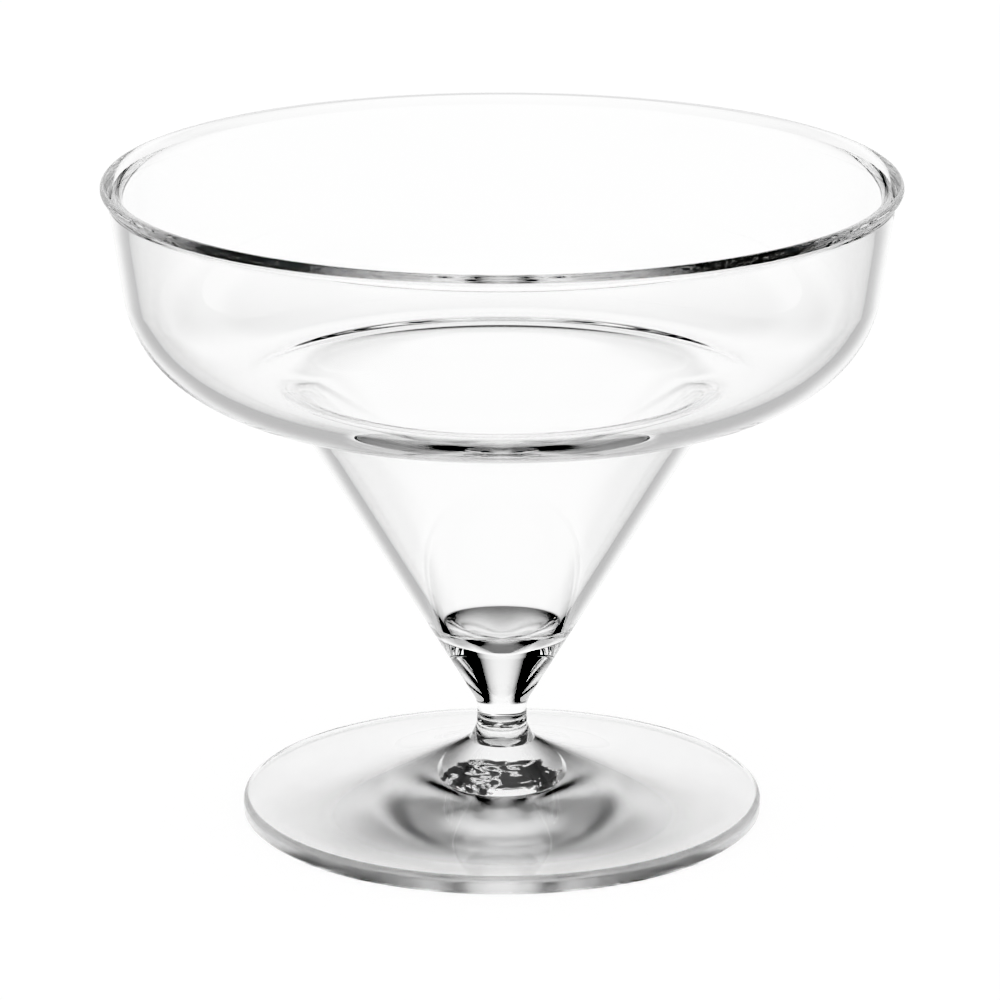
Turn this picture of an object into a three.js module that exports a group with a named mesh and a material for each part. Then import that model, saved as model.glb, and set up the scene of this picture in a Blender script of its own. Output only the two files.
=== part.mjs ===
import * as THREE from 'three';

// Clear moulded dessert glass, in millimetres. The axis is +Z and the foot stands on z = 0.
// The bowl and its solid stem are one moulding, and the foot is another.
// The stem's spigot is bonded into the foot's collar.

// Foot
const FOOT_RADIUS = 39.8; // outer edge of the disc
const FOOT_EDGE = 2.7; // thickness of the disc at its edge
const EDGE_ROUND = 1.0; // rounding of the upper edge
const EDGE_CHAMFER = 0.45; // bevel of the lower edge
const STANDING_RING = 5.0; // width of the flat ring that touches the table
const HOLLOW_DEPTH = 0.4; // how far the underside rises inside that ring
const GATE_RADIUS = 8.3; // recess in the middle of the underside, round the mark of the moulding gate
const GATE_DEPTH = 1.5;
const GATE_DRAFT = 20; // lean of the recess's wall, in degrees
const CROWN_HEIGHT = 11.1; // top of the disc's slope, where the collar starts
const CROWN_SLOPE = 26; // steepness of the disc beside the collar, in degrees
const EDGE_SLOPE = 1.0; // steepness of the disc at its edge, in degrees
const COLLAR_RADIUS = 5.0; // foot of the collar
const COLLAR_HEIGHT = 3.4; // collar from the crown up to the seam

// Joint between the stem and the foot
const SPIGOT_RADIUS = 2.3;
const SPIGOT_LENGTH = 4.5;
const BOND_GAP = 0.3; // room for the bond on the seat, round the spigot and under it

// Stem and cone
const NECK_RADIUS = 3.8;
const NECK_LENGTH = 2.65; // from the seam to the point where the neck would meet the cone
const NECK_BLEND = 4.0; // radius of the blend from the neck into the cone
const CONE_ANGLE = 31; // between the cone's side and the axis, in degrees
const CONE_HEIGHT = 49.25; // from the neck to the level underside of the shoulder
const SOLID_STEM = 10.55; // solid part of the cone, up to the lowest point inside the bowl
const FLOOR_SLOPE = 16.5; // the bowl's floor is a flat cone that rises by this many degrees
const FLOOR_FILLET = 1.2;

// Shoulder, band and rim
const WALL = 2.25;
const STEP_FILLET = 8.0; // hollow corner under the shoulder
const STEP_WIDTH = 0.35; // level ring between that corner and the shoulder's curve
const SHOULDER_HEIGHT = 16.3;
const SHOULDER_LOW_PULL = 5.6; // length of the curve's handle along the level ring
const SHOULDER_HIGH_PULL = 11.4; // length of the curve's handle down the band
const BAND_RADIUS = 56.9; // outside of the band at its lower end
const BAND_HEIGHT = 14.5;
const BAND_DRAFT = 8; // outward lean of the band, in degrees
const LIP_FLARE = 3.0; // height of the flare from the inside wall out to the rim
const LIP_HEIGHT = 2.1; // from the top of the band to the top of the rim
const BEAD_RADIUS = 0.75; // bead round the outside of the rim
const BEAD_PROUD = 1.06; // how far the bead stands out from the band

// Facets
const SEGMENTS = 64; // round the axis
const FACET_TURN = 15; // most that an outline turns from one facet to the next, in degrees
const LEAST_FACETS = 6; // for a free curve, however little it turns

const point = (r, z) => new THREE.Vector2(r, z);
const radians = THREE.MathUtils.degToRad;
const towards = (from, to, length) => to.clone().sub(from).setLength(length).add(from);

// Heights of the stack, each standing on the one below
const seamZ = CROWN_HEIGHT + COLLAR_HEIGHT;
const coneZ = seamZ + NECK_LENGTH;
const shoulderZ = coneZ + CONE_HEIGHT;
const bandZ = shoulderZ + SHOULDER_HEIGHT;
const lipZ = bandZ + BAND_HEIGHT;
const rimZ = lipZ + LIP_HEIGHT;
const floorZ = coneZ + SOLID_STEM;

const coneSpread = Math.tan(radians(CONE_ANGLE));
const coneRadius = (z) => NECK_RADIUS + (z - coneZ) * coneSpread;
const hollowRadius = (z) => coneRadius(z) - WALL / Math.cos(radians(CONE_ANGLE));
const bandRadius = (z) => BAND_RADIUS + (z - bandZ) * Math.tan(radians(BAND_DRAFT));
const lipRadius = bandRadius(lipZ);

// Runs the outline up to a corner and round it, on an arc that touches both of the corner's sides
function roundCorner(path, corner, next, radius) {
  const back = path.currentPoint.clone().sub(corner).normalize();
  const ahead = next.clone().sub(corner).normalize();
  const half = Math.acos(back.dot(ahead)) / 2;
  const centre = towards(corner, corner.clone().add(back).add(ahead), radius / Math.sin(half));
  const start = corner.clone().addScaledVector(back, radius / Math.tan(half)).sub(centre);
  const end = corner.clone().addScaledVector(ahead, radius / Math.tan(half)).sub(centre);
  path.absarc(centre.x, centre.y, radius, start.angle(), end.angle(), back.cross(ahead) > 0);
}

function lineTo(path, to) {
  path.lineTo(to.x, to.y);
}

function curveTo(path, handle1, handle2, to) {
  path.bezierCurveTo(handle1.x, handle1.y, handle2.x, handle2.y, to.x, to.y);
}

// How many facets a stretch of outline gets: one if it is straight, or as many as its turn needs
function facets(curve) {
  if (curve.isLineCurve) {
    return 1;
  }
  const turn = curve.isEllipseCurve
    ? Math.abs(curve.aEndAngle - curve.aStartAngle)
    : curve.getTangent(0).angleTo(curve.getTangent(1));
  const around = Math.min(turn, 2 * Math.PI - turn);
  return Math.max(Math.ceil(around / radians(FACET_TURN)), curve.isEllipseCurve ? 2 : LEAST_FACETS);
}

function outlinePoints(path) {
  const points = [path.curves[0].getPoint(0)];
  for (const curve of path.curves) {
    const steps = facets(curve);
    for (let i = 1; i <= steps; i += 1) {
      points.push(curve.getPoint(i / steps));
    }
  }
  return points;
}

// Runs the outline back along a curve, at an even distance to the left of the way that the curve goes
function followBack(path, curve, distance) {
  const steps = facets(curve);
  for (let i = steps; i >= 0; i -= 1) {
    const along = curve.getTangent(i / steps);
    lineTo(path, curve.getPoint(i / steps).add(point(-along.y, along.x).multiplyScalar(distance)));
  }
}

// The outline turned about the axis, stood up so that its heights run along +Z
function turned(name, path, material) {
  const geometry = new THREE.LatheGeometry(outlinePoints(path), SEGMENTS);
  geometry.rotateX(Math.PI / 2);
  const mesh = new THREE.Mesh(geometry, material);
  mesh.name = name;
  return mesh;
}

// Bowl and stem, from the middle of the spigot's end, up the outside, over the rim and down inside
function bowlOutline() {
  const path = new THREE.Path();
  const spigotZ = seamZ - SPIGOT_LENGTH;
  path.moveTo(0, spigotZ);
  path.lineTo(SPIGOT_RADIUS, spigotZ);
  path.lineTo(SPIGOT_RADIUS, seamZ);
  path.lineTo(NECK_RADIUS, seamZ);

  // Neck, cone and the hollow corner under the shoulder
  const coneTop = point(coneRadius(shoulderZ), shoulderZ);
  const filletReach = STEP_FILLET * Math.tan(radians(90 - CONE_ANGLE) / 2);
  const stepEnd = point(coneTop.x + filletReach + STEP_WIDTH, shoulderZ);
  roundCorner(path, point(NECK_RADIUS, coneZ), coneTop, NECK_BLEND);
  roundCorner(path, coneTop, stepEnd, STEP_FILLET);
  lineTo(path, stepEnd);

  // Shoulder and leaning band
  const bandFoot = point(BAND_RADIUS, bandZ);
  const bandTop = point(lipRadius, lipZ);
  const lean = bandTop.clone().sub(bandFoot).normalize();
  const low = point(stepEnd.x + SHOULDER_LOW_PULL, shoulderZ);
  curveTo(path, low, bandFoot.clone().addScaledVector(lean, -SHOULDER_HIGH_PULL), bandFoot);
  const shoulder = path.curves.at(-1);
  lineTo(path, bandTop);

  // Bead, proud of the band, then the flare of the lip down to the inside wall
  const beadCentre = point(lipRadius + BEAD_PROUD - BEAD_RADIUS, rimZ - BEAD_RADIUS);
  const flareZ = rimZ - LIP_FLARE;
  const flareFoot = point(bandRadius(flareZ) - WALL / Math.cos(radians(BAND_DRAFT)), flareZ);
  const beadFoot = beadCentre.clone().addScaledVector(point(0.5, -Math.sqrt(0.75)), BEAD_RADIUS);
  lineTo(path, beadFoot);
  path.absarc(beadCentre.x, beadCentre.y, BEAD_RADIUS, -Math.PI / 3, Math.PI / 2, false);
  const flareTop = point(beadCentre.x - 2 * BEAD_RADIUS, rimZ);
  curveTo(path, flareTop, flareFoot.clone().addScaledVector(lean, LIP_FLARE / 2), flareFoot);

  // Inside of the band, shoulder, step and cone, a wall's thickness in from the outside all the way
  followBack(path, shoulder, WALL);
  const stepZ = shoulderZ + WALL;
  const hollowTop = point(hollowRadius(stepZ), stepZ);

  // Rounded edge into the cone, and the flat cone of the floor
  const floorRise = Math.tan(radians(FLOOR_SLOPE));
  const floorCorner = point(hollowRadius(floorZ) / (1 - coneSpread * floorRise), 0);
  floorCorner.y = floorZ + floorCorner.x * floorRise;
  roundCorner(path, hollowTop, floorCorner, STEP_FILLET + WALL);
  roundCorner(path, floorCorner, point(0, floorZ), FLOOR_FILLET);
  path.lineTo(0, floorZ);
  return path;
}

// Foot, from the middle of its underside, out to the edge, up the slope and collar and down into the socket
function footOutline() {
  const path = new THREE.Path();
  const ringInner = FOOT_RADIUS - EDGE_CHAMFER - STANDING_RING;
  const roofZ = HOLLOW_DEPTH + GATE_DEPTH;
  path.moveTo(0, roofZ);
  path.lineTo(GATE_RADIUS - GATE_DEPTH * Math.tan(radians(GATE_DRAFT)), roofZ);
  path.lineTo(GATE_RADIUS, HOLLOW_DEPTH);
  const ringEdge = point(ringInner, 0);
  const hollowPull = (ringInner - GATE_RADIUS) / 3;
  curveTo(path, point(GATE_RADIUS + hollowPull, HOLLOW_DEPTH), point(ringInner - hollowPull, 0), ringEdge);
  path.lineTo(FOOT_RADIUS - EDGE_CHAMFER, 0);
  path.lineTo(FOOT_RADIUS, EDGE_CHAMFER);

  const edge = FOOT_RADIUS - EDGE_ROUND;
  path.absarc(edge, FOOT_EDGE - EDGE_ROUND, EDGE_ROUND, 0, Math.PI / 2, false);

  // Slope that steepens from the edge to the crown
  const crown = point(COLLAR_RADIUS, CROWN_HEIGHT);
  const edgeTop = point(edge, FOOT_EDGE);
  const reach = (edge - COLLAR_RADIUS) / 3;
  const downhill = (degrees) => point(Math.cos(radians(degrees)), -Math.sin(radians(degrees)));
  const gentle = edgeTop.clone().addScaledVector(downhill(EDGE_SLOPE), -reach);
  curveTo(path, gentle, crown.clone().addScaledVector(downhill(CROWN_SLOPE), reach), crown);

  // Collar, flared out at its foot, up to the seat of the neck
  const seatZ = seamZ - BOND_GAP;
  const seat = point(NECK_RADIUS, seatZ);
  const flare = (COLLAR_HEIGHT - BOND_GAP) / 3;
  const flareOut = (COLLAR_RADIUS - NECK_RADIUS) / 2;
  curveTo(path, point(NECK_RADIUS + flareOut, CROWN_HEIGHT + flare), point(NECK_RADIUS, seatZ - flare), seat);

  // Socket for the spigot
  const socketRadius = SPIGOT_RADIUS + BOND_GAP;
  const socketZ = seamZ - SPIGOT_LENGTH - BOND_GAP;
  path.lineTo(socketRadius, seatZ);
  path.lineTo(socketRadius, socketZ);
  path.lineTo(0, socketZ);
  return path;
}

const bowlMaterial = new THREE.MeshStandardMaterial({ color: 0xf4f6f7, roughness: 0.04, metalness: 0 });
const footMaterial = new THREE.MeshStandardMaterial({ color: 0xeff1f2, roughness: 0.06, metalness: 0 });
for (const material of [bowlMaterial, footMaterial]) {
  material.transparent = true;
  material.opacity = 0.35;
}

const glass = new THREE.Group();
glass.add(turned('bowl', bowlOutline(), bowlMaterial));
glass.add(turned('foot', footOutline(), footMaterial));

export default glass;
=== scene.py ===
# %% [markdown]
# # A clear dessert glass, from outline to light
# The glass is two clear mouldings. The bowl has a solid stem and a spigot under it, and the foot has a
# collar with a socket for the spigot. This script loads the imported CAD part, turns a finer version of
# each moulding about its axis, gives both their clear plastic and sets them in a white studio.

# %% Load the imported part
import math

import bpy
import numpy as np
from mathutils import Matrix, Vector


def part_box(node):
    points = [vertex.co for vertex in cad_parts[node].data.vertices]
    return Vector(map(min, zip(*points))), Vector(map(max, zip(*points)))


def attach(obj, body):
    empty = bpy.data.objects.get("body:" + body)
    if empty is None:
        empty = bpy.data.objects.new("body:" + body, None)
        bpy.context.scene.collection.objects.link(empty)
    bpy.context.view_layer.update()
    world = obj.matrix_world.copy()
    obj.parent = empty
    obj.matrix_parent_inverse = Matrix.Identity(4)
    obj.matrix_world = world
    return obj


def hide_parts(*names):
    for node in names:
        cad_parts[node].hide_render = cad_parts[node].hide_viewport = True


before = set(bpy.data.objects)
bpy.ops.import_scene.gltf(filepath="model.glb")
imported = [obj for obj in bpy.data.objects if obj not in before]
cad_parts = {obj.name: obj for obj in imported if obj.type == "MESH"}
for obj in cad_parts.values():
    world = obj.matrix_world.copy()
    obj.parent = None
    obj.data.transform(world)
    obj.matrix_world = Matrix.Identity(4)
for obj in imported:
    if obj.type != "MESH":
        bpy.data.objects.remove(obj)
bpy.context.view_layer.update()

scene = bpy.context.scene
scene.view_settings.view_transform = "Standard"

# %% [markdown]
# ## Camera
# The photograph was taken from a little above the rim with a long lens. The rim and the foot are circles,
# so the flatness of their two ellipses gives the height of the camera, and the way it changes from one to
# the other gives its distance. The scale is a choice: the mouth is taken to be 120 mm across. A small
# shift puts the glass where it stands in the picture.

# %% Camera
CAMERA_DISTANCE = 0.8562
CAMERA_ELEVATION = math.radians(16.61)
AIM = Vector((0, 0, 0.048))
SENSOR = 36
FOCAL_LENGTH = 202.86
SHIFT = (-0.002, 0.0068)
NEAREST = 0.01

lens = bpy.data.cameras.new("camera")
lens.sensor_width = SENSOR
lens.lens = FOCAL_LENGTH
lens.shift_x, lens.shift_y = SHIFT
lens.clip_start = NEAREST

camera = bpy.data.objects.new("camera", lens)
sight = Vector((0, -math.cos(CAMERA_ELEVATION), math.sin(CAMERA_ELEVATION)))
camera.location = AIM + sight * CAMERA_DISTANCE
camera.rotation_euler = (-sight).to_track_quat("-Z", "Y").to_euler()
scene.collection.objects.link(camera)
scene.camera = camera
print("camera at", [round(v, 3) for v in camera.location])

# %% [markdown]
# ## Nodes written as sums
# Shaders and Geometry Nodes are both trees of nodes. To keep them readable, a Wire wraps the output of
# one node so that `1 - mask * 0.5` adds the Math nodes by itself, and a Bench adds any other node with
# its settings and its values or links.


# %% Wire and Bench
class Wire:
    """One output of a node. Plain sums with it add Math nodes to its tree."""

    def __init__(self, bench, socket):
        self.bench = bench
        self.socket = socket

    def math(self, operation, *terms):
        return self.bench.add("ShaderNodeMath", {"operation": operation}, dict(enumerate(terms)))

    def other(self, name):
        return Wire(self.bench, self.socket.node.outputs[name])

    def between(self, low, high):
        """0 below low, 1 above high and a soft step from one to the other."""
        return self.bench.add("ShaderNodeMapRange", {"interpolation_type": "SMOOTHSTEP"},
                              {"Value": self, "From Min": low, "From Max": high})

    def __add__(self, other):
        return self.math("ADD", self, other)

    __radd__ = __add__

    def __sub__(self, other):
        return self.math("SUBTRACT", self, other)

    def __rsub__(self, other):
        return self.math("SUBTRACT", other, self)

    def __mul__(self, other):
        return self.math("MULTIPLY", self, other)

    __rmul__ = __mul__

    def __truediv__(self, other):
        return self.math("DIVIDE", self, other)


class Bench:
    """A node tree that is being put together."""

    def __init__(self, tree):
        self.tree = tree
        tree.nodes.clear()

    def add(self, kind, settings=None, values=None, output=0):
        node = self.tree.nodes.new(kind)
        for name, value in (settings or {}).items():
            setattr(node, name, value)
        for name, value in (values or {}).items():
            if isinstance(value, Wire):
                self.tree.links.new(value.socket, node.inputs[name])
            else:
                node.inputs[name].default_value = value
        return Wire(self, node.outputs[output]) if node.outputs else None


print("Wire and Bench are ready")

# %% [markdown]
# ## Outline of a turned piece
# A moulding that is round all the way is one outline turned about the axis. The outline is a chain of
# points (radius, height) in millimetres. Arcs and curves are cut finely, because a coarse step in a clear
# wall bends the light behind it and shows at once. Long straight stretches are cut too: a face that is
# far longer than wide is shaded unevenly when it is turned into a cone.

# %% Outline helpers
MM = 0.001
ARC_STEP = math.radians(4)
CURVE_STEPS = 36
LONGEST = 2.5


def direction(degrees):
    return np.array((math.cos(math.radians(degrees)), math.sin(math.radians(degrees))))


def arc(centre, radii, start, end):
    """Points on an ellipse from one angle to another, in degrees."""
    count = max(2, round(abs(math.radians(end - start)) / ARC_STEP))
    return [np.array(centre) + direction(turn) * radii for turn in np.linspace(start, end, count + 1)]


def round_corner(before, corner, after, radius):
    """Arc that touches both sides of a corner."""
    corner = np.array(corner)
    back = (np.array(before) - corner) / np.linalg.norm(np.array(before) - corner)
    ahead = (np.array(after) - corner) / np.linalg.norm(np.array(after) - corner)
    half = math.acos(back @ ahead) / 2
    middle = (back + ahead) / np.linalg.norm(back + ahead)
    centre = corner + middle * radius / math.sin(half)
    first, last = (corner + side * radius / math.tan(half) - centre for side in (back, ahead))
    start = math.degrees(math.atan2(first[1], first[0]))
    turn = math.degrees(math.atan2(last[1], last[0])) - start
    return arc(centre, radius, start, start + (turn + 180) % 360 - 180)


def curve(start, handle1, handle2, end, aside=0):
    """Bezier curve through its two ends, or the line at an even distance to the left of it."""
    start, handle1, handle2, end = (np.array(p, float) for p in (start, handle1, handle2, end))
    t = np.linspace(0, 1, CURVE_STEPS + 1)[:, None]
    points = (1 - t) ** 3 * start + t ** 3 * end
    points += 3 * (1 - t) * t * ((1 - t) * handle1 + t * handle2)
    along = (1 - t) ** 2 * (handle1 - start) + t ** 2 * (end - handle2)
    along += 2 * (1 - t) * t * (handle2 - handle1)
    along /= np.linalg.norm(along, axis=1)[:, None]
    return list(points + np.stack((-along[:, 1], along[:, 0]), 1) * aside)


def cut_long(points):
    """The same outline, with no stretch longer than LONGEST."""
    chain = [np.array(points[0], float)]
    for end in points[1:]:
        way = end - chain[-1]
        count = math.ceil(np.linalg.norm(way) / LONGEST)
        chain += [end - way * (count - i) / count for i in range(1, count + 1)]
    return chain


print("outline helpers are ready")

# %% [markdown]
# ## The bowl's outline
# From the spigot's end it runs up the outside: neck, cone, the hollow corner under the shoulder, the
# round shoulder, the leaning band and the bead of the rim. Inside it comes back a wall's thickness away,
# so that what stands behind the glass is shifted a little but not bent, and ends in the shallow cone of
# the floor.

# %% Outline of the bowl
foot_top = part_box("foot")[1].z / MM
bowl_low, bowl_high = (corner.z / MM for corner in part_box("bowl"))
RIM_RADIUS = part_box("bowl")[1].x / MM
BOND_GAP = 0.3
SEAM = foot_top + BOND_GAP

SPIGOT_RADIUS = 2.3
NECK_RADIUS = 3.8
NECK_LENGTH = 2.65
NECK_BLEND = 4.0
CONE_ANGLE = 31
CONE_HEIGHT = 49.25
SOLID_STEM = 10.55
FLOOR_SLOPE = 16.5
FLOOR_FILLET = 1.2
WALL = 2.25
STEP_FILLET = 8.0
STEP_WIDTH = 0.35
SHOULDER_HEIGHT = 16.3
SHOULDER_LOW_PULL = 5.6
SHOULDER_HIGH_PULL = 11.4
BAND_RADIUS = 56.9
BAND_HEIGHT = 14.5
BAND_DRAFT = 8
LIP_FLARE = 3.0
BEAD_RADIUS = 0.75
BEAD_START = -60


def bowl_outline():
    cone_z = SEAM + NECK_LENGTH
    shoulder_z = cone_z + CONE_HEIGHT
    band_z = shoulder_z + SHOULDER_HEIGHT
    spread = math.tan(math.radians(CONE_ANGLE))
    cone_top = (NECK_RADIUS + CONE_HEIGHT * spread, shoulder_z)
    reach = STEP_FILLET * math.tan(math.radians(90 - CONE_ANGLE) / 2)
    step_end = (cone_top[0] + reach + STEP_WIDTH, shoulder_z)

    points = [(0, bowl_low), (SPIGOT_RADIUS, bowl_low), (SPIGOT_RADIUS, SEAM)]
    points += [(NECK_RADIUS, SEAM)]
    points += round_corner(points[-1], (NECK_RADIUS, cone_z), cone_top, NECK_BLEND)
    points += round_corner(points[-1], cone_top, step_end, STEP_FILLET)

    band_foot = np.array((BAND_RADIUS, band_z))
    lean = direction(90 - BAND_DRAFT)
    band_top = band_foot + lean * BAND_HEIGHT / lean[1]
    low_handle = (step_end[0] + SHOULDER_LOW_PULL, shoulder_z)
    shoulder = step_end, low_handle, band_foot - lean * SHOULDER_HIGH_PULL, band_foot
    points += curve(*shoulder) + [band_top]

    bead = np.array((RIM_RADIUS - BEAD_RADIUS, bowl_high - BEAD_RADIUS))
    flare_z = bowl_high - LIP_FLARE
    flare_foot = band_foot + lean * (flare_z - band_z) / lean[1] - (WALL / lean[1], 0)
    points += arc(bead, BEAD_RADIUS, BEAD_START, 90)
    points += curve((bead[0], bowl_high), (bead[0] - 2 * BEAD_RADIUS, bowl_high),
                    flare_foot + lean * LIP_FLARE / 2, flare_foot)[1:]

    points += curve(*shoulder, aside=WALL)[::-1]

    def hollow(z):
        return NECK_RADIUS + (z - cone_z) * spread - WALL / math.cos(math.radians(CONE_ANGLE))

    floor_z = cone_z + SOLID_STEM
    rise = math.tan(math.radians(FLOOR_SLOPE))
    corner_r = hollow(floor_z) / (1 - spread * rise)
    corner = (corner_r, floor_z + corner_r * rise)
    step_z = shoulder_z + WALL
    points += round_corner(points[-1], (hollow(step_z), step_z), corner, STEP_FILLET + WALL)
    points += round_corner(points[-1], corner, (0, floor_z), FLOOR_FILLET)
    return points + [(0, floor_z)]


bowl_points = cut_long(bowl_outline())
print(len(bowl_points), "points on the bowl's outline, seam at", round(SEAM, 2), "mm")

# %% [markdown]
# ## The foot's outline
# The underside comes first: a recess round the mark where the plastic was let into the mould, a very flat
# hollow and the level ring that the glass stands on. Then the outline goes round the edge, up the slope
# to the crown, up the flared collar to its seat, and down into the socket.

# %% Outline of the foot
FOOT_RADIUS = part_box("foot")[1].x / MM
FOOT_EDGE = 2.7
EDGE_ROUND = 1.0
EDGE_CHAMFER = 0.45
STANDING_RING = 5.0
HOLLOW_DEPTH = 0.4
GATE_RADIUS = 8.3
GATE_DEPTH = 1.5
GATE_DRAFT = 20
CROWN_HEIGHT = 11.1
CROWN_SLOPE = 26
EDGE_SLOPE = 1.0
COLLAR_RADIUS = 5.0


def foot_outline():
    roof = HOLLOW_DEPTH + GATE_DEPTH
    ring_inner = FOOT_RADIUS - EDGE_CHAMFER - STANDING_RING
    gate_top = GATE_RADIUS - GATE_DEPTH * math.tan(math.radians(GATE_DRAFT))
    pull = (ring_inner - GATE_RADIUS) / 3
    points = [(0, roof), (gate_top, roof)]
    points += curve((GATE_RADIUS, HOLLOW_DEPTH), (GATE_RADIUS + pull, HOLLOW_DEPTH),
                    (ring_inner - pull, 0), (ring_inner, 0))
    points += [(FOOT_RADIUS - EDGE_CHAMFER, 0), (FOOT_RADIUS, EDGE_CHAMFER)]

    edge = FOOT_RADIUS - EDGE_ROUND
    points += arc((edge, FOOT_EDGE - EDGE_ROUND), EDGE_ROUND, 0, 90)
    crown = np.array((COLLAR_RADIUS, CROWN_HEIGHT))
    pull = (edge - COLLAR_RADIUS) / 3
    points += curve((edge, FOOT_EDGE), (edge, FOOT_EDGE) - direction(-EDGE_SLOPE) * pull,
                    crown + direction(-CROWN_SLOPE) * pull, crown)[1:]

    flare = (foot_top - CROWN_HEIGHT) / 3
    flare_out = (COLLAR_RADIUS - NECK_RADIUS) / 2
    points += curve(crown, (NECK_RADIUS + flare_out, CROWN_HEIGHT + flare),
                    (NECK_RADIUS, foot_top - flare), (NECK_RADIUS, foot_top))[1:]
    socket = SPIGOT_RADIUS + BOND_GAP
    socket_z = bowl_low - BOND_GAP
    return points + [(socket, foot_top), (socket, socket_z), (0, socket_z)]


foot_points = cut_long(foot_outline())
print(len(foot_points), "points on the foot's outline")

# %% [markdown]
# ## A lathe in Geometry Nodes
# Blender's Screw modifier could turn the outline too. A small tree does it here, because it shows the
# rule itself: take a flat grid, read the grid's row as a point of the outline and its column as an angle,
# and bend it round. Merging by distance then closes the seam and the two poles.

# %% Lathe tree
MERGE_DISTANCE = 1e-7


def lathe_tree():
    tree = bpy.data.node_groups.new("lathe", "GeometryNodeTree")
    for name, kind in (("Outline", "NodeSocketGeometry"), ("Segments", "NodeSocketInt"),
                       ("Clear", "NodeSocketMaterial"), ("Bonded", "NodeSocketMaterial"),
                       ("Joint Radius", "NodeSocketFloat"), ("Joint Low", "NodeSocketFloat"),
                       ("Joint High", "NodeSocketFloat")):
        tree.interface.new_socket(name=name, in_out="INPUT", socket_type=kind)
    tree.interface.new_socket(name="Turned", in_out="OUTPUT", socket_type="NodeSocketGeometry")

    bench = Bench(tree)
    given = bench.add("NodeGroupInput")
    outline, segments = given.other("Outline"), given.other("Segments")
    rows = bench.add("GeometryNodeAttributeDomainSize", {"component": "MESH"}, {"Geometry": outline})
    grid = bench.add("GeometryNodeMeshGrid", {}, {"Vertices X": segments + 1, "Vertices Y": rows})

    index = bench.add("GeometryNodeInputIndex")
    column = (index / rows).math("FLOOR", index / rows)
    row = index - column * rows
    place = bench.add("GeometryNodeInputPosition")
    at = bench.add("GeometryNodeSampleIndex", {"data_type": "FLOAT_VECTOR", "domain": "POINT"},
                   {"Geometry": outline, 1: place, "Index": row})
    radius = bench.add("ShaderNodeSeparateXYZ", {}, {0: at})
    turn = column / segments * math.tau
    bent = bench.add("ShaderNodeCombineXYZ", {}, {
        "X": radius * turn.math("COSINE", turn),
        "Y": radius * turn.math("SINE", turn),
        "Z": radius.other("Z")})
    turned = bench.add("GeometryNodeSetPosition", {}, {"Geometry": grid, "Position": bent})
    closed = bench.add("GeometryNodeMergeByDistance", {}, {
        "Geometry": turned, "Distance": MERGE_DISTANCE})

    here = bench.add("ShaderNodeSeparateXYZ", {}, {0: bench.add("GeometryNodeInputPosition")})
    x, y, z = here, here.other("Y"), here.other("Z")
    from_axis = (x * x + y * y).math("SQRT", x * x + y * y)
    within = from_axis.math("LESS_THAN", from_axis, given.other("Joint Radius"))
    above = z.math("GREATER_THAN", z, given.other("Joint Low"))
    below = z.math("LESS_THAN", z, given.other("Joint High"))
    smooth = bench.add("GeometryNodeSetShadeSmooth", {}, {"Geometry": closed})
    clear = bench.add("GeometryNodeSetMaterial", {}, {"Geometry": smooth, "Material": given.other("Clear")})
    whole = bench.add("GeometryNodeRealizeInstances", {}, {"Geometry": clear})
    bonded = bench.add("GeometryNodeSetMaterial", {}, {
        "Geometry": whole, "Selection": within * above * below, "Material": given.other("Bonded")})
    bench.add("NodeGroupOutput", {}, {"Turned": bonded})
    return tree


lathe = lathe_tree()
print("lathe has", len(lathe.nodes), "nodes")

# %% [markdown]
# ## Clear plastic
# The glass is taken to be polycarbonate: clear and neutral, with an index of refraction of 1.585. The
# shader is a Principled BSDF with full transmission. A real clear face also mirrors about 5 per cent head
# on. That is hardly seen on the photograph's white ground, so a black specular tint takes it away here.
# Faces seen at a slant, and light that is caught inside the plastic, are mirrored as before. Shadow rays
# go straight through, slightly dimmed, because Cycles can't focus lamp light through refraction in few
# samples. A table glass is never quite perfect, so faint scuffs raise the roughness in places.

# %% Clear plastic
IOR = 1.585
HEAD_ON = (0.0, 0.0, 0.0, 1)
THROUGH = (0.93, 0.93, 0.93, 1)
CLEAR = (0.99, 0.99, 0.99, 1)
# Dark matt film: dried bond residue at the joint, and painted shade on the foot's gate mark.
RESIDUE_AND_SHADE = (0.02, 0.02, 0.02, 1)
RESIDUE_AND_SHADE_ROUGHNESS = 0.4
SCUFF_NOISE = (700, 3.0, 1.5)
SCUFF_SHARE = (0.62, 0.75)
SCUFF_ROUGHNESS = 0.02


def finish(name):
    material = bpy.data.materials.new(name)
    material.use_nodes = True
    return material, Bench(material.node_tree)


def clear_surface(bench, roughness, **more):
    """Clear plastic for every ray that is seen, and a slightly dim film for shadow rays."""
    body = bench.add("ShaderNodeBsdfPrincipled", {}, {
        "Base Color": CLEAR, "Roughness": roughness, "IOR": IOR, "Transmission Weight": 1.0,
        "Specular Tint": HEAD_ON, **more})
    straight = bench.add("ShaderNodeBsdfTransparent", {}, {"Color": THROUGH})
    shadow = bench.add("ShaderNodeLightPath", output="Is Shadow Ray")
    return bench.add("ShaderNodeMixShader", {}, {0: shadow, 1: body, 2: straight})


def mm(sizes):
    return tuple(size * MM for size in sizes)


def place(bench):
    """Where a point lies on the piece: its coordinates, its height and its distance from the axis."""
    spot = bench.add("ShaderNodeTexCoord", output="Object")
    parts = bench.add("ShaderNodeSeparateXYZ", {}, {0: spot})
    x, y, z = parts, parts.other("Y"), parts.other("Z")
    squared = x * x + y * y
    return spot, z / MM, squared.math("SQRT", squared) / MM


def noise(bench, spot, scale, detail=2.0, distortion=0.0):
    return bench.add("ShaderNodeTexNoise", {}, {
        "Vector": spot, "Scale": scale, "Detail": detail, "Distortion": distortion})


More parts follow.
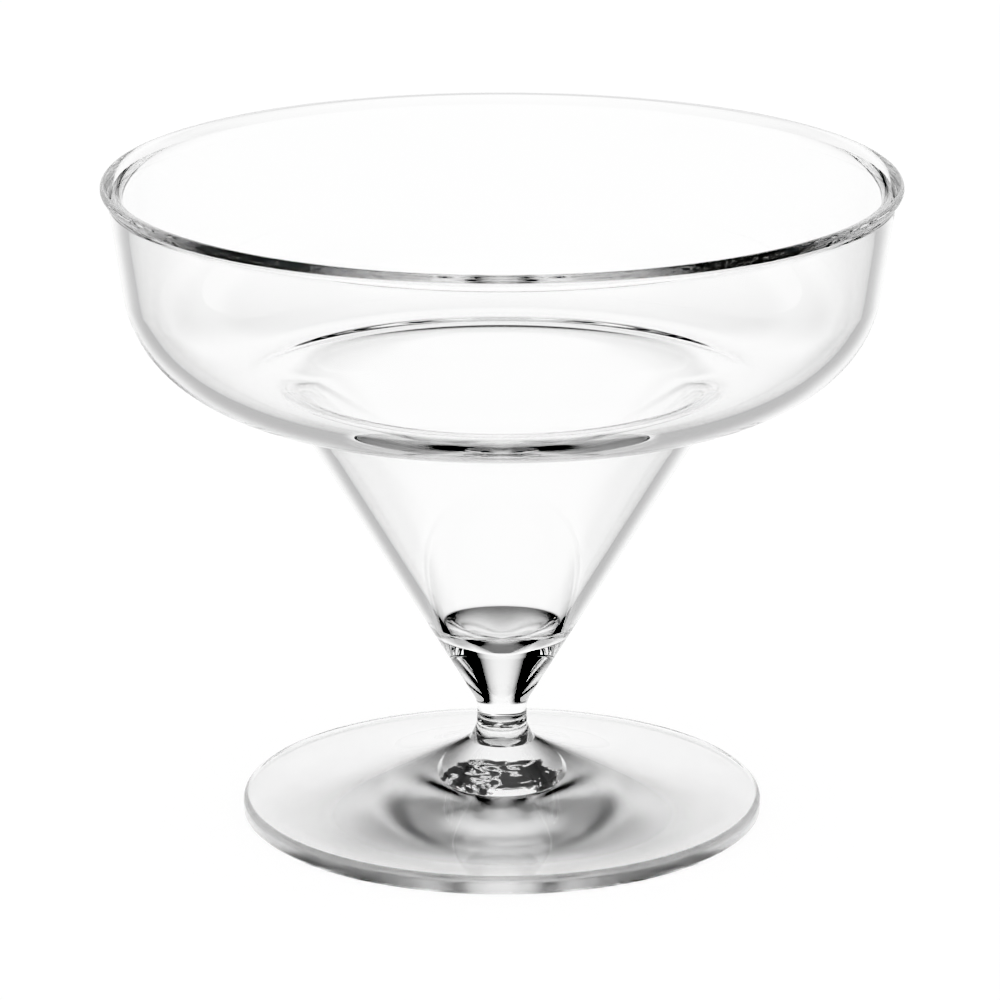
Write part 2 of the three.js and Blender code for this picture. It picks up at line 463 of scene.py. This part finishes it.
def residue_and_painted_shade(bench, surface, share):
    """The surface with a dark matt film on a share of it: dried bond residue in the joint, painted shade on
    the foot's gate mark.
    """
    residue_and_shade = bench.add("ShaderNodeBsdfPrincipled", {}, {
        "Base Color": RESIDUE_AND_SHADE, "Roughness": RESIDUE_AND_SHADE_ROUGHNESS})
    return bench.add("ShaderNodeMixShader", {}, {0: share, 1: surface, 2: residue_and_shade})


def bowl_finish():
    material, bench = finish("bowl_plastic")
    spot = bench.add("ShaderNodeTexCoord", output="Object")
    scuffs = noise(bench, spot, *SCUFF_NOISE).between(*SCUFF_SHARE)
    surface = clear_surface(bench, SCUFF_ROUGHNESS * scuffs)
    bench.add("ShaderNodeOutputMaterial", {}, {"Surface": surface})
    return material


bowl_clear = bowl_finish()
print("made", bowl_clear.name)

# %% [markdown]
# ## The foot's surfaces
# The foot's top and edge are as clear as the bowl. Its underside is taken to be matt, as if the mould
# were dull there, because a dull face spreads the light that comes down through the slope into the soft
# grey of the photograph. In the middle is the mark of the gate, where the plastic was let into the mould
# and torn off. It is uneven. Its darkness is painted shade: a dark matt film stands in for light that the
# rough plastic turns back from dark places, and a stretched noise gives it a ragged edge and leaves clear
# bits in it. One material can hold all of these, because height and distance from the axis say which
# face a point is on.

# %% Foot finish
MATT = 0.14
MATT_CLOUDS = 0.1
TOP_ROUGHNESS = 0.01
TOP_CLOUDS = 0.03
CLOUD_NOISE = (120, 3.0)
UNDER_END = (2.0, 2.2)
EDGE_BLEND = 0.4
TORN_CENTRE = (0, -2.6, 0)
TORN_REACH = (8.6, 5.2, 1000)
TORN_DEPTH = 0.001
TORN_END = (0.9, 1.0)
TORN_BLEND = 0.2
RAGGED_NOISE = (330, 3.0)
RAGGED_SHARE = 0.9
GRAIN_NOISE = (350, 3.0, 1.5)
GRAIN_PAINTED_SHADE = (0.43, 0.47)


def foot_finish():
    material, bench = finish("foot_plastic")
    spot, height, from_axis = place(bench)
    edge = FOOT_RADIUS - EDGE_ROUND
    under = (1 - height.between(*UNDER_END)) * (1 - from_axis.between(edge, edge + EDGE_BLEND))
    clouds = noise(bench, spot, *CLOUD_NOISE)
    top = TOP_ROUGHNESS + TOP_CLOUDS * clouds
    roughness = top + under * (MATT + MATT_CLOUDS * clouds - top)

    shifted = bench.add("ShaderNodeVectorMath", {"operation": "SUBTRACT"}, {0: spot, 1: mm(TORN_CENTRE)})
    shared = bench.add("ShaderNodeVectorMath", {"operation": "DIVIDE"}, {0: shifted, 1: mm(TORN_REACH)})
    out = bench.add("ShaderNodeVectorMath", {"operation": "LENGTH"}, {0: shared}, "Value")
    ragged = out + RAGGED_SHARE * (noise(bench, spot, *RAGGED_NOISE) - 0.5)
    in_recess = 1 - from_axis.between(GATE_RADIUS, GATE_RADIUS + TORN_BLEND)
    torn_and_shaded = under * in_recess * (1 - ragged.between(*TORN_END))
    grain = noise(bench, spot, *GRAIN_NOISE)
    bump = bench.add("ShaderNodeBump", {}, {
        "Strength": 1.0, "Distance": TORN_DEPTH, "Height": grain * torn_and_shaded})
    clear = clear_surface(bench, roughness, Normal=bump)
    # Painted shade: a dark matt film over the low parts of the grain gives the gate mark its darkness.
    surface = residue_and_painted_shade(bench, clear, torn_and_shaded * grain.between(*GRAIN_PAINTED_SHADE))
    bench.add("ShaderNodeOutputMaterial", {}, {"Surface": surface})
    return material


foot_clear = foot_finish()
print("made", foot_clear.name)

# %% [markdown]
# ## The bond
# Where the spigot is bonded into the socket, light passes from one moulding to the other as if they were
# one. Two touching glass faces would act as a mirror instead, because Cycles sees air between them. So
# the faces in the joint are transparent. On the seat round the spigot, and round the spigot's end, the
# bond has dried to a dark residue with a few gaps. It shows as the dark ring round the neck and the small
# broken ring below.

# %% Bond finish
END_RING = 1.9
END_RING_HALF = 0.1
END_RISE = (0.1, 0.3)
GAP_NOISE = (600, 1.0)
GAPS = (0.42, 0.46)


def bond_finish():
    material, bench = finish("bond_film")
    spot, height, from_axis = place(bench)
    seat = from_axis.between(SPIGOT_RADIUS + BOND_GAP, SPIGOT_RADIUS + 2 * BOND_GAP)
    low_end = 1 - height.between(*(bowl_low + rise for rise in END_RISE))
    end_ring = low_end * from_axis.between(END_RING - END_RING_HALF, END_RING + END_RING_HALF)
    gaps = noise(bench, spot, *GAP_NOISE).between(*GAPS)
    film = bench.add("ShaderNodeBsdfTransparent")
    surface = residue_and_painted_shade(bench, film, seat.math("MAXIMUM", seat, end_ring) * gaps)
    bench.add("ShaderNodeOutputMaterial", {}, {"Surface": surface})
    return material


bond = bond_finish()
print("made", bond.name)

# %% [markdown]
# ## Turning both pieces
# The outline becomes a chain of edges, the lathe turns it, and the result is kept as a plain mesh.
# Corners sharper than 30 degrees keep a hard edge, and everything else is shaded smooth.

# %% Turned pieces
SEGMENTS = 192
HARD_EDGE = math.radians(30)
JOINT_INSET = 0.1


def turned_piece(name, node, points, clear):
    chain = bpy.data.meshes.new(name)
    steps = range(len(points) - 1)
    chain.from_pydata([(r * MM, 0, z * MM) for r, z in points], [(i, i + 1) for i in steps], [])
    piece = bpy.data.objects.new(name, chain)
    turning = piece.modifiers.new("turning", "NODES")
    turning.node_group = lathe
    values = {"Segments": SEGMENTS, "Clear": clear, "Bonded": bond,
              "Joint Radius": (NECK_RADIUS - JOINT_INSET) * MM,
              "Joint Low": (bowl_low - 2 * BOND_GAP) * MM, "Joint High": (SEAM + BOND_GAP) * MM}
    for socket in lathe.interface.items_tree:
        if socket.name in values:
            turning[socket.identifier] = values[socket.name]
    scene.collection.objects.link(piece)
    shaped = piece.evaluated_get(bpy.context.evaluated_depsgraph_get())
    mesh = bpy.data.meshes.new_from_object(shaped)
    mesh.name = name
    piece.modifiers.remove(turning)
    piece.data = mesh
    mesh.materials.pop(index=0)
    mesh.set_sharp_from_angle(angle=HARD_EDGE)
    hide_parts(node)
    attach(piece, "root")
    print(name, len(mesh.polygons), "faces,", [m.name for m in mesh.materials])


turned_piece("bowl_moulding", "bowl", bowl_points, bowl_clear)
turned_piece("foot_moulding", "foot", foot_points, foot_clear)

# %% [markdown]
# ## Table
# Clear things are only seen by what stands round them. The photograph has a white ground, so the camera
# sees a white table with a little of the object's shadow. Seen through the glass it is white too, and
# beside the foot it has some polish, so that light bent far down finds the studio in it. Light that was
# caught in the plastic before it came out is mirrored more. Under the foot only light that has come down
# through the bowl is mirrored. It has passed more faces than the two of the foot. A real table can't tell
# these kinds of light apart: the shares were chosen so that the edges come out about as dark as in the
# photograph.

# %% Table
TABLE_GAP = 0.0002
TABLE_HALF = 20.0
TABLE_COLOUR = (0.9, 0.9, 0.9, 1)
WHITE = (1, 1, 1, 1)
WHITE_SHARE = 0.9
POLISH = 0.2
POLISH_CAUGHT = 0.5
POLISH_UNDER = 0.9
FACES_OF_FOOT = 2
POLISH_BLEND = 5
MIRROR_COLOUR = (0.95, 0.95, 0.95, 1)
MIRROR_ROUGHNESS = 0.1


def table_finish():
    material, bench = finish("white_table")
    *_, from_axis = place(bench)
    ray = bench.add("ShaderNodeLightPath", output="Is Camera Ray")
    glossy, through = ray.other("Is Glossy Ray"), ray.other("Is Transmission Ray")
    caught = ray.math("MINIMUM", ray.other("Glossy Depth"), 1)
    seen = ray.math("MAXIMUM", ray, ray.math("MAXIMUM", glossy, through))
    matt = bench.add("ShaderNodeBsdfDiffuse", {}, {"Color": TABLE_COLOUR})
    ground = bench.add("ShaderNodeEmission", {}, {"Color": WHITE, "Strength": 1.0})
    mirror = bench.add("ShaderNodeBsdfGlossy", {}, {
        "Color": MIRROR_COLOUR, "Roughness": MIRROR_ROUGHNESS})
    sheet = bench.add("ShaderNodeMixShader", {}, {0: seen * WHITE_SHARE, 1: matt, 2: ground})
    beside = from_axis.between(FOOT_RADIUS, FOOT_RADIUS + POLISH_BLEND)
    by_bowl = ray.math("GREATER_THAN", ray.other("Transmission Depth"), FACES_OF_FOOT)
    polish = caught * POLISH_CAUGHT + (1 - caught) * through * POLISH
    shine = beside * polish + (1 - beside) * by_bowl * POLISH_UNDER
    surface = bench.add("ShaderNodeMixShader", {}, {0: shine, 1: sheet, 2: mirror})
    bench.add("ShaderNodeOutputMaterial", {}, {"Surface": surface})
    return material


top = bpy.data.meshes.new("table")
corners = [(-1, -1), (1, -1), (1, 1), (-1, 1)]
top.from_pydata([(x * TABLE_HALF, y * TABLE_HALF, -TABLE_GAP) for x, y in corners], [], [(0, 1, 2, 3)])
top.materials.append(table_finish())
table = bpy.data.objects.new("table", top)
scene.collection.objects.link(table)
print("table is", 2 * TABLE_HALF, "m wide")

# %% [markdown]
# ## Studio
# Photographers light clear things with a bright field: a white ground straight behind, and darkness to
# the sides. Light that passes straight through shows white, and light that is bent far shows dark, which
# draws the edges. Here four white walls stand round the table with dark corners between them. Light that
# leaves the glass upwards sees the walls and the corners. In the polish of the table there is a white
# belt all round, with darkness over it. Light that was caught in the plastic sees a lower belt and the
# dark corners. A white softbox overhead is seen by all of them. This is tuned to the photograph's side
# and is not one real studio.

# %% Studio walls
WALL_HALF = math.radians(12)
WALL_END = math.radians(30)
HORIZON = (0.12, 0.35)
BELT = (0.48, 0.62)
CAUGHT_BELT = (0.39, 0.56)
CORNER_FOOT = (0.1, 0.35)
SOFTBOX = (0.84, 0.92)
CAUGHT_DEPTH = 1.5


def studio():
    world = bpy.data.worlds.new("studio")
    world.use_nodes = True
    bench = Bench(world.node_tree)
    view = bench.add("ShaderNodeSeparateXYZ", {}, {0: bench.add("ShaderNodeTexCoord", output="Generated")})
    x, y, up = view, view.other("Y"), view.other("Z")
    turn = x.math("ARCTAN2", x.math("ABSOLUTE", x), y.math("ABSOLUTE", y))
    from_wall = turn.math("MINIMUM", turn, math.pi / 2 - turn)
    corner = from_wall.between(WALL_HALF, WALL_END)

    ray = bench.add("ShaderNodeLightPath", output="Glossy Depth")
    through, glossy = ray.other("Is Transmission Ray"), ray.other("Is Glossy Ray")
    caught = ray.math("GREATER_THAN", ray, CAUGHT_DEPTH)
    above = (1 - caught) * up.between(*BELT) + caught * up.between(*CAUGHT_BELT)
    mirrored = above.math("MAXIMUM", above, caught * corner * up.between(*CORNER_FOOT))
    dark = (through * corner * up.between(*HORIZON) + glossy * mirrored) * (1 - up.between(*SOFTBOX))
    white = 1 - dark
    colour = bench.add("ShaderNodeCombineColor", {}, {0: white, 1: white, 2: white})
    sky = bench.add("ShaderNodeBackground", {}, {"Color": colour, "Strength": 1.0})
    bench.add("ShaderNodeOutputWorld", {}, {"Surface": sky})
    return world


scene.world = studio()
print("studio walls end", round(math.degrees(WALL_END)), "degrees to each side")

# %% [markdown]
# ## Lamp
# One large round lamp hangs over the glass and gives the soft shadow on the table. Clear surfaces don't
# mirror it, because the photograph has no lamp in its reflections.

# %% Lamp
LAMP_HEIGHT = 1.2
LAMP_SIZE = 0.9
LAMP_POWER = 6.0

light = bpy.data.lights.new("overhead", "AREA")
light.shape = "DISK"
light.size = LAMP_SIZE
light.energy = LAMP_POWER
lamp = bpy.data.objects.new("overhead", light)
lamp.location = (0, 0, LAMP_HEIGHT)
lamp.visible_glossy = False
lamp.visible_transmission = False
scene.collection.objects.link(lamp)
print("lamp of", LAMP_POWER, "W at", LAMP_HEIGHT, "m")

# %% [markdown]
# ## Bounces
# Light can run a long way round inside the rim before it comes out. With few bounces it would be lost
# there, and the rim would turn black all round. How many are followed is part of the look: with more of
# them the rim turns lighter than in the photograph.

# %% Bounces
BOUNCES = 80
scene.cycles.max_bounces = BOUNCES
scene.cycles.transmission_bounces = BOUNCES
scene.cycles.glossy_bounces = BOUNCES
scene.cycles.transparent_max_bounces = BOUNCES
print("light is followed for", BOUNCES, "bounces")

# %% Update the scene
bpy.context.view_layer.update()
